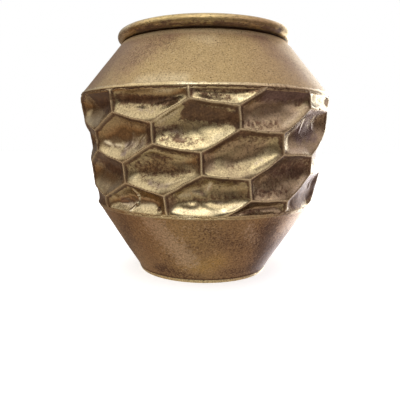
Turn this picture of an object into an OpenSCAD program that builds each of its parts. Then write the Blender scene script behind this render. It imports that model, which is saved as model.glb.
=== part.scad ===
// Brass planter pot, built up from rolled and pressed sheet.
// Origin at the centre of the underside, +Z up. The front faces -Y and the band's joint faces +Y.

/* [Overall] */
// Height of the pot, from the floor to the top of the rim bead
pot_h = 290; // [288:1:296]
// Diameter at the upper seam, the widest place
belly_d = 300; // [290:1:306]
// Diameter at the lower seam
waist_d = 264; // [256:1:272]
// Height of the lower seam above the floor
waist_h = 86; // [80:1:92]
// Height of the upper seam above the floor
belly_h = 214; // [208:1:220]
// Thickness of the brass sheet
sheet = 1.2; // [0.8:0.1:1.4]

/* [Neck and rim] */
// Clear diameter of the mouth
mouth_d = 188; // [180:1:188]
// Diameter of the shoulder's upper edge
shoulder_d = 200; // [200:1:208]
// Height of the shoulder's upper edge above the floor
shoulder_h = 275; // [272:1:275]
// Thickness of the rolled bead round the mouth
bead_d = 12.5; // [10:0.5:12.5]
// Depth of the straight neck below the middle of the bead
neck_depth = 19; // [17:0.5:24]

/* [Foot] */
// Diameter of the pot where it meets the foot ring
foot_d = 162; // [156:1:166]
// Height of the foot ring
foot_h = 4; // [3:0.5:5]
// Thickness of the base plate
base_t = 1.5; // [1:0.1:2]

/* [Honeycomb band] */
// Width of one cell along its row
cell_w = 85.4; // [80:0.1:92]
// Climb of each row over one cell
cell_climb = 15.95; // [12:0.05:20]
// Sideways step from one row to the row below
row_shift = 49.4; // [44:0.1:54]
// Drop from one row to the row below
row_drop = 28.3; // [26:0.1:32]
// Length of the upright ribs
rib_l = 21.75; // [18:0.05:25]
// Sideways lean of the upright ribs over their length
rib_lean = 2; // [0:0.1:4]
// Width of the flat crest of a rib
rib_w = 2.5; // [1.5:0.1:4]
// Height of the ribs over the straight cone
rib_rise = 2.5; // [1:0.1:3]
// Depth of the cells below the ribs
cell_depth = 8.5; // [5:0.1:9]

/* [Seams] */
// Reach of a seam strip over the cone beside it
seam_reach = 4.5; // [3:0.1:6]
// Reach of a seam strip over the edge of the band
seam_lap = 3; // [2:0.1:3.5]
// Height of a seam strip
seam_t = 0.9; // [0.5:0.1:1.2]
// Width of the strap over the band's joint
strap_w = 12; // [9:0.5:14]

/* [Hidden] */

SHEET_BRASS = "#a08250";
BAND_BRASS = "#80643c";
SEAM_BRASS = "#cdb173";
RIM_BRASS = "#9c7f48";
STEEL = "#6a6c6e";
ROUND = 180;

belly_r = belly_d / 2;
waist_r = waist_d / 2;
shoulder_r = shoulder_d / 2;
mouth_r = mouth_d / 2;
foot_r = foot_d / 2;

// Rim: the bead's inner side is flush with the neck
bead_r = bead_d / 2;
bead_ring_r = mouth_r + bead_r;
bead_z = pot_h - bead_r;
wire_gap = 0.1;
bead_mouth = 230;
neck_r = mouth_r + sheet;
neck_low = bead_z - neck_depth;
neck_fillet = 2.5;

// Shoulder: its lean over the horizontal, and the arc at its upper edge
shoulder_lean = atan2(shoulder_h - belly_h, belly_r - shoulder_r);
corner_r = 3;
corner_centre = [shoulder_r - corner_r * tan(shoulder_lean / 2), shoulder_h - corner_r];

// Lower cone: its lean from the vertical, and the hollow arc above the foot ring
waist_lean = atan2(waist_r - foot_r, waist_h - foot_h);
foot_taper = 15;
bend_r = 8;
bend_centre = [foot_r + bend_r * cos(foot_taper), foot_h - bend_r * sin(foot_taper)];
ring_t = 2.4;
plate_r = foot_r - ring_t;
base_fillet = 2.4;

// Band: a cone, and the flat sheet that it unrolls to
slant = norm([belly_r - waist_r, belly_h - waist_h]);
taper_sin = (belly_r - waist_r) / slant;
taper_cos = (belly_h - waist_h) / slant;
unrolled_r = belly_r / taper_sin;
band_cols = 120;
band_rows = 20;
edge_land = 4;
edge_fade = 8;
joint_land = 8;
joint_fade = 10;
joint_gap = 1;
crest_reach = 2.9;
joint_angle = joint_gap / 2 / belly_r * 180 / PI;

// The lattice of cells on the flat sheet, x round from the front and y up from the upper seam
row_step = [cell_w, cell_climb];
column_step = [row_shift, -row_drop];
rib_step = [rib_lean, -rib_l];
first_corner = [-52.25, -35.45];
middle_offset = (row_step + rib_step) / 2;
lattice_area = cross(row_step, column_step);
dish_reach = 19;

function unit(v) = v / norm(v);
function across(v) = unit([-v.y, v.x]);
function clamp(x) = max(0, min(1, x));
function smooth(x) = let (c = clamp(x)) c * c * (3 - 2 * c);
function arc(centre, r, from, to, steps = 8) =
    [for (k = [0:steps]) let (a = from + (to - from) * k / steps) centre + r * [cos(a), sin(a)]];

// Each cell is a six-sided outline with equal opposite sides, held as three normals and half widths
upright_normal = across(rib_step);
rising_normal = across(row_step + rib_step - column_step);
falling_normal = across(column_step - rib_step);
upright_half = abs(upright_normal * row_step) / 2;
rising_half = abs(rising_normal * (row_step + rib_step)) / 2;
falling_half = abs(falling_normal * (row_step - rib_step)) / 2;

// The nearest side of a cell to a point at q from its middle: [distance, direction to that side]
function nearest_side(q) =
    let (
        sides = [
            [upright_half - abs(upright_normal * q), upright_normal * sign(upright_normal * q)],
            [rising_half - abs(rising_normal * q), rising_normal * sign(rising_normal * q)],
            [falling_half - abs(falling_normal * q), falling_normal * sign(falling_normal * q)]],
        low = min([for (side = sides) side[0]])
    )
    [for (side = sides) if (side[0] == low) side][0];

// The nearest rib to a point of the flat sheet: [distance, direction]
function nearest_rib(p) =
    let (
        q = p - first_corner - middle_offset,
        i0 = round(cross(q, column_step) / lattice_area),
        j0 = round(cross(row_step, q) / lattice_area),
        found = [for (i = [i0 - 1:i0 + 1], j = [j0 - 1:j0 + 1])
            nearest_side(q - i * row_step - j * column_step)],
        far = max([for (side = found) side[0]])
    )
    [for (side = found) if (side[0] == far) side][0];

// Point of the flat sheet at an angle round from the front and a distance down from the upper seam
function unrolled(angle, down) =
    let (r = unrolled_r - down, a = angle * taper_sin) [r * sin(a), r * cos(a) - unrolled_r];

// The angle and the distance down of a point of the flat sheet
function rolled(p) =
    [atan2(p.x, p.y + unrolled_r) / taper_sin, unrolled_r - norm([p.x, p.y + unrolled_r])];

// The sheet is pressed flat along both seams and beside the joint at the back
function pressed(angle, down) =
    smooth((down - edge_land) / edge_fade)
    * smooth((slant - down - edge_land) / edge_fade)
    * smooth(((180 - abs(angle)) * belly_r * PI / 180 - joint_land) / joint_fade);

function dish(angle, down) =
    let (t = clamp((nearest_rib(unrolled(angle, down))[0] - rib_w / 2) / dish_reach))
    cell_depth * (1 - pow(1 - t, 2));

function band_radius(angle, down) =
    belly_r - down * taper_sin + pressed(angle, down) * (rib_rise - dish(angle, down));

function band_point(place, inset) =
    let (angle = place[0], down = place[1], r = band_radius(angle, down) - inset)
    [r * sin(angle), -r * cos(angle), belly_h - down * taper_cos];

// A grid place beside a rib moves onto its crest, so that the ribs stay sharp
function on_crest(angle, down) =
    let (p = unrolled(angle, down), rib = nearest_rib(p))
    rib[0] < crest_reach && pressed(angle, down) > 0.2 ? rolled(p + rib[0] * rib[1]) : [angle, down];

band_downs = concat(
    [0],
    [for (k = [0:band_rows]) edge_land + (slant - 2 * edge_land) * k / band_rows],
    [slant]);
band_angles = [for (k = [0:band_cols])
    (180 - joint_angle) * (2 * k / band_cols - 1)];

module ring(points) {
    rotate_extrude($fn = ROUND) polygon(points);
}

module rim_bead() {
    slit = [for (a = [180, 205, bead_mouth]) bead_d * [cos(a), sin(a)]];
    color(RIM_BRASS)
        rotate_extrude($fn = ROUND)
            translate([bead_ring_r, bead_z])
                difference() {
                    circle(r = bead_r, $fn = 48);
                    circle(r = bead_r - sheet, $fn = 48);
                    polygon(concat([[0, 0]], slit));
                }
}

module rim_wire() {
    color(STEEL)
        rotate_extrude($fn = ROUND)
            translate([bead_ring_r, bead_z])
                circle(r = bead_r - sheet - wire_gap, $fn = 48);
}

module neck_collar() {
    color(RIM_BRASS)
        translate([0, 0, neck_low])
            difference() {
                cylinder(r = neck_r, h = neck_depth, $fn = ROUND);
                translate([0, 0, -1])
                    cylinder(r = mouth_r, h = neck_depth + 2, $fn = ROUND);
            }
}

module neck_solder() {
    ledge_z = shoulder_h - sheet;
    color(SEAM_BRASS)
        ring([
            [neck_r, ledge_z],
            [neck_r + neck_fillet, ledge_z],
            [neck_r, ledge_z - neck_fillet]]);
}

module shoulder_cone() {
    start = 90 - shoulder_lean;
    color(SHEET_BRASS)
        ring(concat(
            [[belly_r - sheet / sin(shoulder_lean), belly_h], [belly_r, belly_h]],
            arc(corner_centre, corner_r, start, 90),
            [[neck_r, shoulder_h], [neck_r, shoulder_h - sheet]],
            arc(corner_centre, corner_r - sheet, 90, start)));
}

// A raised strip over a corner, between the direction up the sheet above it and the one down the
// sheet below it
module seam_strip(corner, up, up_reach, down, down_reach) {
    up_out = [up.y, -up.x];
    down_out = [-down.y, down.x];
    crown = 0.6;
    ring([
        corner,
        corner + down * down_reach,
        corner + down * down_reach * crown + down_out * seam_t,
        corner + unit(up_out + down_out) * seam_t,
        corner + up * up_reach * crown + up_out * seam_t,
        corner + up * up_reach]);
}

module upper_seam() {
    color(SEAM_BRASS)
        seam_strip(
            [belly_r, belly_h],
            [-cos(shoulder_lean), sin(shoulder_lean)], seam_reach,
            [-taper_sin, -taper_cos], seam_lap);
}

module honeycomb_band() {
    rows = len(band_downs);
    cols = len(band_angles);
    layer = rows * cols;
    places = [for (down = band_downs, angle = band_angles) on_crest(angle, down)];
    radii = [for (place = places) band_radius(place[0], place[1])];
    points = [for (inset = [0, sheet], place = places) band_point(place, inset)];
    function at(layer_no, row, col) = layer_no * layer + row * cols + col;
    // Two triangles that meet along the higher diagonal
    function quad(a, b, c, d) =
        let (ra = radii[a % layer], rb = radii[b % layer], rc = radii[c % layer], rd = radii[d % layer])
        ra + rc > rb + rd ? [[a, b, c], [a, c, d]] : [[b, c, d], [b, d, a]];
    faces = [
        for (row = [0:rows - 2], col = [0:cols - 2])
            each quad(at(0, row, col), at(0, row, col + 1),
                at(0, row + 1, col + 1), at(0, row + 1, col)),
        for (row = [0:rows - 2], col = [0:cols - 2])
            each quad(at(1, row + 1, col), at(1, row + 1, col + 1),
                at(1, row, col + 1), at(1, row, col)),
        for (col = [0:cols - 2])
            each quad(at(1, 0, col), at(1, 0, col + 1), at(0, 0, col + 1), at(0, 0, col)),
        for (col = [0:cols - 2])
            each quad(at(0, rows - 1, col), at(0, rows - 1, col + 1),
                at(1, rows - 1, col + 1), at(1, rows - 1, col)),
        for (row = [0:rows - 2])
            each quad(at(1, row, 0), at(0, row, 0), at(0, row + 1, 0), at(1, row + 1, 0)),
        for (row = [0:rows - 2])
            each quad(at(0, row, cols - 1), at(1, row, cols - 1),
                at(1, row + 1, cols - 1), at(0, row + 1, cols - 1))];
    color(BAND_BRASS) polyhedron(points, faces, convexity = 10);
}

module band_strap() {
    half_angle = strap_w / 2 / belly_r * 180 / PI;
    margin = seam_lap + 0.2;
    function on_cone(down, out) = [belly_r - down * taper_sin + out, belly_h - down * taper_cos];
    color(SEAM_BRASS)
        rotate([0, 0, 90 - half_angle])
            rotate_extrude(angle = 2 * half_angle, $fn = ROUND)
                polygon([
                    on_cone(margin, 0),
                    on_cone(margin, seam_t),
                    on_cone(slant - margin, seam_t),
                    on_cone(slant - margin, 0)]);
}

module lower_seam() {
    color(SEAM_BRASS)
        seam_strip(
            [waist_r, waist_h],
            [taper_sin, taper_cos], seam_lap,
            [-sin(waist_lean), -cos(waist_lean)], seam_reach);
}

module lower_cone() {
    color(SHEET_BRASS)
        ring(concat(
            [[waist_r, waist_h], [waist_r - sheet / cos(waist_lean), waist_h]],
            arc(bend_centre, bend_r + sheet, 180 - waist_lean, 180 - foot_taper),
            [[foot_r - sheet / cos(foot_taper), foot_h], [foot_r, foot_h]],
            arc(bend_centre, bend_r, 180 - foot_taper, 180 - waist_lean)));
}

module foot_ring() {
    color(SEAM_BRASS)
        ring([
            [plate_r, 0],
            [foot_r - foot_h * tan(foot_taper), 0],
            [foot_r, foot_h],
            [plate_r, foot_h]]);
}

module base_plate() {
    color(SHEET_BRASS) cylinder(r = plate_r, h = base_t, $fn = ROUND);
}

module base_solder() {
    color(SEAM_BRASS)
        ring([
            [plate_r, base_t],
            [plate_r, base_t + base_fillet],
            [plate_r - base_fillet, base_t]]);
}

rim_bead();
rim_wire();
neck_collar();
neck_solder();
shoulder_cone();
upper_seam();
honeycomb_band();
band_strap();
lower_seam();
lower_cone();
foot_ring();
base_plate();
base_solder();
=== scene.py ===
import math

import bpy
import numpy as np
from mathutils import Matrix, Vector, noise


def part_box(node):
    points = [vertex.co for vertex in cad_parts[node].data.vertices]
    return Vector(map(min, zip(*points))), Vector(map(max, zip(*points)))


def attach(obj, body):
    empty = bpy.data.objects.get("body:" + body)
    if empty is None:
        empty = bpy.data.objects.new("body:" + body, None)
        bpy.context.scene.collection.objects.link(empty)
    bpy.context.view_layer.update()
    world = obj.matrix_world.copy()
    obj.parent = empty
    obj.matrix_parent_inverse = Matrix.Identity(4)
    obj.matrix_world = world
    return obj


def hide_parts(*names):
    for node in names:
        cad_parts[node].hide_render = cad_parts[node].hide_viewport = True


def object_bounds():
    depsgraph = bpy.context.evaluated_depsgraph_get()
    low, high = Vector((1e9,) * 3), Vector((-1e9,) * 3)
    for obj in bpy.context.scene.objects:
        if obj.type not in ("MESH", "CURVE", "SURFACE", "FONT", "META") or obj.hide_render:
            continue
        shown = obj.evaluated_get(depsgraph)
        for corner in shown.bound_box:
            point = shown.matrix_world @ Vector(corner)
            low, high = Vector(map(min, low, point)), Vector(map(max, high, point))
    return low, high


# Brass planter pot: its finished looks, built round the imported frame. Metres, +Z up, the front faces -Y.

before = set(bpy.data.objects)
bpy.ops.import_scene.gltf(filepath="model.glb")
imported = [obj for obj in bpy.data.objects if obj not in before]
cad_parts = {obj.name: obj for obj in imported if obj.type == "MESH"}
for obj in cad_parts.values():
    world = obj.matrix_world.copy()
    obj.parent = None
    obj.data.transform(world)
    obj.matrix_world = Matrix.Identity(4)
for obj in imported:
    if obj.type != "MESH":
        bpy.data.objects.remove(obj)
cad_low, cad_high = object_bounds()

MM = 0.001
TURN = 2 * math.pi

# Sizes read from the frame
shoulder_low, shoulder_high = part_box("shoulder_cone")
rim_low, rim_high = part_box("rim_bead")
neck_low, neck_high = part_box("neck_collar")
lower_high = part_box("lower_cone")[1]
ring_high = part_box("foot_ring")[1]
plate_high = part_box("base_plate")[1]

belly_r = shoulder_high.x
belly_h = shoulder_low.z
shoulder_h = shoulder_high.z
waist_r = lower_high.x
waist_h = lower_high.z
foot_r = ring_high.x
foot_h = ring_high.z
bead_r = (rim_high.z - rim_low.z) / 2
bead_z = rim_low.z + bead_r
bead_ring_r = rim_high.x - bead_r
neck_r = neck_high.x
plate_r = plate_high.x
limit_r = cad_high.x - 0.1 * MM  # nothing reaches further out than this

# Sizes that the CAD model also holds
SHEET = 1.2 * MM
SHOULDER_R = 100 * MM
CORNER_R = 2 * MM
BEND_R = 8 * MM
FOOT_TAPER = math.radians(15)
RIB_RISE = 2.5 * MM
JOINT_GAP = 1 * MM
STRAP_W = 12 * MM
# The cells' lattice on the unrolled band: the way to the next cell along a row, the way to the next row,
# the way down an upright rib, and the first cell's lower left corner
ROW_STEP = np.array([85.4, 15.95]) * MM
COLUMN_STEP = np.array([49.4, -28.3]) * MM
RIB_STEP = np.array([2.0, -21.75]) * MM
FIRST_CORNER = np.array([-52.25, -35.45]) * MM
# How far a piece's hidden edge sinks into the sheet under it
BURIED = 0.1 * MM

# The band is a cone, and unrolls to a flat sheet
slant = math.hypot(belly_r - waist_r, belly_h - waist_h)
taper_sin = (belly_r - waist_r) / slant
taper_cos = (belly_h - waist_h) / slant
unrolled_r = belly_r / taper_sin
shoulder_lean = math.atan2(shoulder_h - belly_h, belly_r - SHOULDER_R)
waist_lean = math.atan2(waist_r - foot_r, waist_h - foot_h)


# ---------------------------------------------------------------- small helpers

def smooth(x):
    x = np.clip(x, 0, 1)
    return x * x * (3 - 2 * x)


def bump_at(x, middle, width):
    return np.exp(-((x - middle) / width) ** 2)


def cloud(points, size, octaves=3, shift=0.0):
    """Smooth random field from -1 to 1 at each point, with lumps of about that size."""
    flat = np.asarray(points, float).reshape(-1, 3) / size + shift
    found = [noise.fractal(Vector(p), 1.0, 2.0, octaves) for p in flat]
    return np.clip(np.array(found), -1, 1).reshape(np.asarray(points).shape[:-1])


def arc(centre, r, start, end, steps):
    angles = np.linspace(start, end, steps + 1)
    return [(centre[0] + r * math.cos(a), centre[1] + r * math.sin(a)) for a in angles]


def line(start, end, steps):
    return [tuple(np.add(start, np.subtract(end, start) * k / steps)) for k in range(steps + 1)]


def grid_faces(rows, cols, wrap_rows, wrap_cols):
    r = np.arange(rows if wrap_rows else rows - 1)
    c = np.arange(cols if wrap_cols else cols - 1)
    r, c = np.meshgrid(r, c, indexing="ij")
    r1 = (r + 1) % rows
    c1 = (c + 1) % cols
    return np.stack([r * cols + c, r1 * cols + c, r1 * cols + c1, r * cols + c1], -1).reshape(-1, 4)


def make_object(name, points, faces, material, sharp_deg=40):
    mesh = bpy.data.meshes.new(name)
    mesh.from_pydata(np.asarray(points).reshape(-1, 3).tolist(), [], [list(map(int, f)) for f in faces])
    mesh.polygons.foreach_set("use_smooth", [True] * len(mesh.polygons))
    mesh.set_sharp_from_angle(angle=math.radians(sharp_deg))
    mesh.materials.append(material)
    made = bpy.data.objects.new(name, mesh)
    bpy.context.scene.collection.objects.link(made)
    return made


def add_attribute(made, name, values):
    layer = made.data.attributes.new(name, "FLOAT", "POINT")
    layer.data.foreach_set("value", np.asarray(values, np.float32).ravel())


def add_inner_material(made, material, inner_points):
    """Gives the faces whose points are all inner ones a second material."""
    made.data.materials.append(material)
    inner_points = np.asarray(inner_points).ravel()
    for face in made.data.polygons:
        if inner_points[list(face.vertices)].all():
            face.material_index = 1


def finish_piece(made, node_name):
    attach(made, "root")
    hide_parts(node_name)
    return made


def turned_piece(name, profile, steps, material, uneven=None, sharp_deg=40):
    """A closed profile turned round Z. uneven gives each point's outward shift in metres."""
    profile = np.asarray(profile)
    angles = np.arange(steps) * TURN / steps
    out = np.stack([np.sin(angles), -np.cos(angles), np.zeros(steps)], -1)[:, None]
    points = out * profile[None, :, :1] + np.array([0, 0, 1.0]) * profile[None, :, 1:]
    if uneven is not None:
        points = points + out * uneven(points)[..., None]
    return make_object(name, points, grid_faces(steps, len(profile), True, True), material, sharp_deg)


def mesh_points(made):
    found = np.empty(3 * len(made.data.vertices), np.float32)
    made.data.vertices.foreach_get("co", found)
    return found.reshape(-1, 3).astype(float)


# ---------------------------------------------------------------- materials

def shader(tree, kind, inputs=None, **settings):
    made = tree.nodes.new("ShaderNode" + kind)
    for key, value in settings.items():
        setattr(made, key, value)
    for key, value in (inputs or {}).items():
        if isinstance(value, bpy.types.NodeSocket):
            tree.links.new(value, made.inputs[key])
        else:
            made.inputs[key].default_value = value
    return made


def maths(tree, operation, a, b=0.0, clamp=False):
    return shader(tree, "Math", {0: a, 1: b}, operation=operation, use_clamp=clamp).outputs[0]


def ramp(tree, value, stops):
    made = shader(tree, "ValToRGB", {"Fac": value})
    elements = made.color_ramp.elements
    while len(elements) < len(stops):
        elements.new(0.5)
    for element, (place, colour) in zip(elements, stops):
        element.position = place
        element.color = (*colour, 1)
    return made.outputs["Color"]


def grey_ramp(tree, value, stops):
    return ramp(tree, value, [(place, (level, level, level)) for place, level in stops])


def mix(tree, factor, a, b, blend="MIX"):
    made = shader(tree, "Mix", data_type="RGBA", blend_type=blend)
    sockets = {"Factor": made.inputs[0], "A": made.inputs[6], "B": made.inputs[7]}
    for key, value in (("Factor", factor), ("A", a), ("B", b)):
        if isinstance(value, bpy.types.NodeSocket):
            tree.links.new(value, sockets[key])
        elif key == "Factor":
            sockets[key].default_value = value
        else:
            sockets[key].default_value = (*value, 1)
    return made.outputs[2]


def noise_node(tree, where, scale, detail=4.0, rough=0.55, distort=0.0):
    made = shader(tree, "TexNoise", {"Vector": where, "Scale": scale, "Detail": detail,
                                     "Roughness": rough, "Distortion": distort})
    return made.outputs["Fac"]


def read(tree, name):
    return shader(tree, "Attribute", attribute_name=name).outputs["Fac"]


# Rubbed and polished metal, patina, haze and pits
# GOLD and PALE also colour painted highlights
GOLD = (0.74, 0.59, 0.35)
PALE = (0.82, 0.72, 0.52)
BROWN = (0.130, 0.068, 0.038)
DARK_BROWN = (0.085, 0.046, 0.036)
WARM_BROWN = (0.215, 0.125, 0.066)
MAUVE = (0.30, 0.23, 0.21)
HAZE = (0.275, 0.165, 0.105)
PINK = (0.60, 0.44, 0.30)
COPPER = (0.66, 0.42, 0.13)
PIT = (0.055, 0.036, 0.024)


def brass(name, bright, second, patina, ragged, pits, rough, grain=1.0, fleck=0.22, lumps=120,
          bloom_colour=MAUVE, bloom_ragged=3.0, bloom_scale=130, polished_and_glint=PALE, dull=0.12, streaks=False):
    """Aged brass: metal of two close tones under ragged brown patina, a haze of bloom and small dark pits.
    Three attributes steer it from place to place: shade adds patina above 0 and polishes below 0, bloom
    adds haze, and wear rubs the metal bright. In places shade also carries painted shade, and
    its polishing and wear carry painted highlights."""
    material = bpy.data.materials.new(name)
    material.use_nodes = True
    tree = material.node_tree
    tree.nodes.clear()
    out = tree.nodes.new("ShaderNodeOutputMaterial")
    body = tree.nodes.new("ShaderNodeBsdfPrincipled")
    tree.links.new(body.outputs[0], out.inputs[0])

    where = shader(tree, "TexCoord").outputs["Object"]
    along = shader(tree, "Attribute", attribute_name="streak").outputs["Vector"] if streaks else where
    broad = noise_node(tree, where, 14, 2, 0.5, 0.4)
    cloudy = noise_node(tree, along, lumps, 9, 0.76, 0.15)
    bloomy = noise_node(tree, where, bloom_scale, 8, 0.74, 0.2)
    fine = noise_node(tree, along, 520, 4, 0.7)
    speck = noise_node(tree, along, 760, 2, 0.6)
    dust = noise_node(tree, where, 1500, 2, 0.6)

    colour = mix(tree, grey_ramp(tree, broad, [(0.36, 0.0), (0.64, 1.0)]), bright, second)
    flecked = grey_ramp(tree, fine, [(0.34, 1 - fleck), (0.50, 1.0), (0.66, 1 + fleck)])
    # Shade below 0 cleans the metal to a pale colour: real cleaning, and painted highlights along creases,
    # lips and the rim's ends
    polish_and_highlight = maths(tree, "MULTIPLY", read(tree, "shade"), -0.55, clamp=True)
    colour = mix(tree, polish_and_highlight, colour, polished_and_glint)
    uneven = maths(tree, "MULTIPLY", maths(tree, "SUBTRACT", cloudy, 0.5), 4 * ragged)
    cover = maths(tree, "ADD", maths(tree, "ADD", uneven, patina), read(tree, "shade"))
    cover = grey_ramp(tree, cover, [(0.33, 0.0), (0.67, 1.0)])
    brown = ramp(tree, bloomy, [(0.34, DARK_BROWN), (0.50, BROWN), (0.64, WARM_BROWN)])
    colour = mix(tree, maths(tree, "MULTIPLY", cover, 0.93), colour, brown)
    uneven = maths(tree, "MULTIPLY", maths(tree, "SUBTRACT", bloomy, 0.5), bloom_ragged)
    haze = grey_ramp(tree, maths(tree, "ADD", uneven, read(tree, "bloom")), [(0.25, 0.0), (0.85, 0.85)])
    colour = mix(tree, haze, colour, mix(tree, maths(tree, "MULTIPLY", cover, 0.6), bloom_colour, BROWN))
    colour = mix(tree, 1.0, colour, flecked, "MULTIPLY")
    # wear rubs the metal bright: real rubbing, and painted highlights on the ribs' crests, the rim's ends and
    # the shoulder's top edge
    wear = maths(tree, "MULTIPLY", read(tree, "wear"), 0.85)
    colour = mix(tree, wear, colour, GOLD)
    spots = maths(tree, "MULTIPLY", grey_ramp(tree, speck, [(0.31, 1.0), (0.43, 0.0)]), pits)
    colour = mix(tree, spots, colour, PIT)
    lit = maths(tree, "MULTIPLY", grey_ramp(tree, speck, [(0.58, 0.0), (0.72, 1.0)]), 0.4 * pits)
    lit = maths(tree, "MULTIPLY", lit, maths(tree, "SUBTRACT", 1.0, cover))
    colour = mix(tree, lit, colour, PALE)
    tree.links.new(colour, body.inputs["Base Color"])

    roughness = maths(tree, "ADD", maths(tree, "MULTIPLY", cloudy, -0.25), rough + 0.125)
    roughness = maths(tree, "ADD", roughness, maths(tree, "MULTIPLY", cover, 0.12))
    roughness = maths(tree, "SUBTRACT", roughness, maths(tree, "MULTIPLY", polish_and_highlight, 0.12))
    roughness = maths(tree, "ADD", roughness, maths(tree, "MULTIPLY", spots, 0.2), clamp=True)
    tree.links.new(roughness, body.inputs["Roughness"])
    dulled = maths(tree, "ADD", maths(tree, "MULTIPLY", cover, dull), maths(tree, "MULTIPLY", wear, 0.34))
    metal = maths(tree, "SUBTRACT", 1.0, dulled, clamp=True)
    tree.links.new(metal, body.inputs["Metallic"])

    height = maths(tree, "ADD", maths(tree, "MULTIPLY", fine, 0.7), maths(tree, "MULTIPLY", dust, 0.25))
    height = maths(tree, "SUBTRACT", height, maths(tree, "MULTIPLY", spots, 0.5))
    bump = shader(tree, "Bump", {"Strength": 0.3 * grain, "Distance": 0.0004, "Height": height})
    tree.links.new(bump.outputs[0], body.inputs["Normal"])
    return material


shoulder_brass = brass("shoulder_brass", (0.455, 0.33, 0.16), (0.42, 0.30, 0.155),
                       patina=0.04, ragged=0.42, pits=0.75, rough=0.44, grain=1.4, fleck=0.20, lumps=300,
                       bloom_colour=HAZE, bloom_ragged=1.2)
lower_brass = brass("lower_brass", (0.46, 0.30, 0.145), (0.38, 0.24, 0.125),
                    patina=0.28, ragged=0.62, pits=0.50, rough=0.38, grain=1.8, fleck=0.36, lumps=420,
                    bloom_colour=PINK, bloom_ragged=4.2, bloom_scale=300, polished_and_glint=COPPER)
band_brass = brass("band_brass", (0.55, 0.45, 0.26), (0.49, 0.39, 0.225),
                   patina=0.0, ragged=0.60, pits=0.45, rough=0.22, fleck=0.30, lumps=280, bloom_ragged=2.0)
seam_brass = brass("seam_brass", (0.60, 0.48, 0.27), (0.50, 0.37, 0.19),
                   patina=-0.15, ragged=0.85, pits=0.70, rough=0.28, lumps=260)
foot_brass = brass("foot_brass", (0.78, 0.64, 0.34), (0.66, 0.52, 0.26),
                   patina=0.16, ragged=1.30, pits=1.00, rough=0.33, grain=1.8, fleck=0.45, lumps=420)
rim_brass = brass("rim_brass", (0.60, 0.46, 0.215), (0.48, 0.34, 0.16),
                  patina=-0.22, ragged=1.05, pits=0.70, rough=0.30, grain=2.4, dull=0.3, streaks=True)
inner_brass = brass("inner_brass", (0.34, 0.23, 0.12), (0.28, 0.18, 0.10),
                    patina=0.15, ragged=0.60, pits=0.50, rough=0.50)
neck_brass = brass("neck_brass", (0.20, 0.13, 0.07), (0.15, 0.095, 0.055),
                   patina=0.45, ragged=0.60, pits=0.50, rough=0.50)
steel = brass("wire_steel", (0.35, 0.35, 0.34), (0.28, 0.27, 0.26),
              patina=0.2, ragged=0.60, pits=0.30, rough=0.50)


# ---------------------------------------------------------------- honeycomb band

def across(v):
    return np.array([-v[1], v[0]]) / np.linalg.norm(v)


def cross2(a, b):
    return a[..., 0] * b[..., 1] - a[..., 1] * b[..., 0]


# From a cell's lower left corner to its middle, and for each of its three pairs of sides the way across
# them and half the distance between them
MIDDLE_OFFSET = (ROW_STEP + RIB_STEP) / 2
SIDE_NORMALS = np.stack([
    across(RIB_STEP), across(ROW_STEP + RIB_STEP - COLUMN_STEP), across(COLUMN_STEP - RIB_STEP)])
SIDE_HALVES = np.abs([
    SIDE_NORMALS[0] @ ROW_STEP, SIDE_NORMALS[1] @ (ROW_STEP + RIB_STEP),
    SIDE_NORMALS[2] @ (ROW_STEP - RIB_STEP)]) / 2


def unrolled(angle, down):
    """Places on the flat sheet, from the front of its upper edge, of points of the band."""
    r = unrolled_r - down
    a = angle * taper_sin
    return np.stack([r * np.sin(a), r * np.cos(a) - unrolled_r], -1)


def rolled(p):
    """The angle round the band and the way down it of places on the flat sheet."""
    angle = np.arctan2(p[..., 0], p[..., 1] + unrolled_r) / taper_sin
    return angle, unrolled_r - np.hypot(p[..., 0], p[..., 1] + unrolled_r)


def find_cell(p):
    """Each point's distance from the nearest rib, the way to that rib, its cell (i, j) and its place there.
    i counts cells along a row to the right, j counts rows down, and a place is from the cell's middle."""
    q = p - FIRST_CORNER - MIDDLE_OFFSET
    area = cross2(ROW_STEP, COLUMN_STEP)
    i0 = np.round(cross2(q, COLUMN_STEP[None]) / area)
    j0 = np.round(cross2(ROW_STEP[None], q) / area)
    every = np.arange(len(p))
    best = np.full(len(p), -1.0)
    way = np.zeros_like(p)
    cell = np.zeros_like(p)
    place = np.zeros_like(p)
    for di in (-1, 0, 1):
        for dj in (-1, 0, 1):
            i, j = i0 + di, j0 + dj
            local = q - i[:, None] * ROW_STEP - j[:, None] * COLUMN_STEP
            along = local @ SIDE_NORMALS.T
            gaps = SIDE_HALVES - np.abs(along)
            side = np.argmin(gaps, -1)
            inside = gaps[every, side]
            direction = SIDE_NORMALS[side] * np.sign(along[every, side])[:, None]
            won = inside > best
            best = np.where(won, inside, best)
            way[won] = direction[won]
            cell[won] = np.stack([i, j], -1)[won]
            place[won] = local[won]
    return best, way, cell, place


# Distances from a rib at which a line of grid points runs along it, and where that ends
RIB_LINES = np.array([0, 1.0, 2.0, 3.0]) * MM
SNAP_END = 3.5 * MM
# Widths of the fades at the band's edges and beside its joint, and how far a rib strays from straight
EDGE_FADE = 6 * MM
JOINT_LAND = 8 * MM
JOINT_FADE = 10 * MM
WAVER = 1 * MM


def joint_fade(angle):
    """0 beside the band's joint at the back, where the sheet is flat, and 1 elsewhere."""
    return smooth(((math.pi - np.abs(angle)) * belly_r - JOINT_LAND) / JOINT_FADE)


def edge_fade(down, reach=EDGE_FADE):
    """0 at the band's two edges, and 1 a little way in."""
    return smooth(down / reach) * smooth((slant - down) / reach)


def wavering(p):
    """Places on the sheet moved a little, so that no rib is quite straight."""
    flat = np.stack([p[:, 0], p[:, 1], np.zeros(len(p))], -1)
    shift = np.stack([cloud(flat, 24 * MM, 2, 21.0), cloud(flat, 24 * MM, 2, 27.0)], -1)
    return p + WAVER * shift


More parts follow.
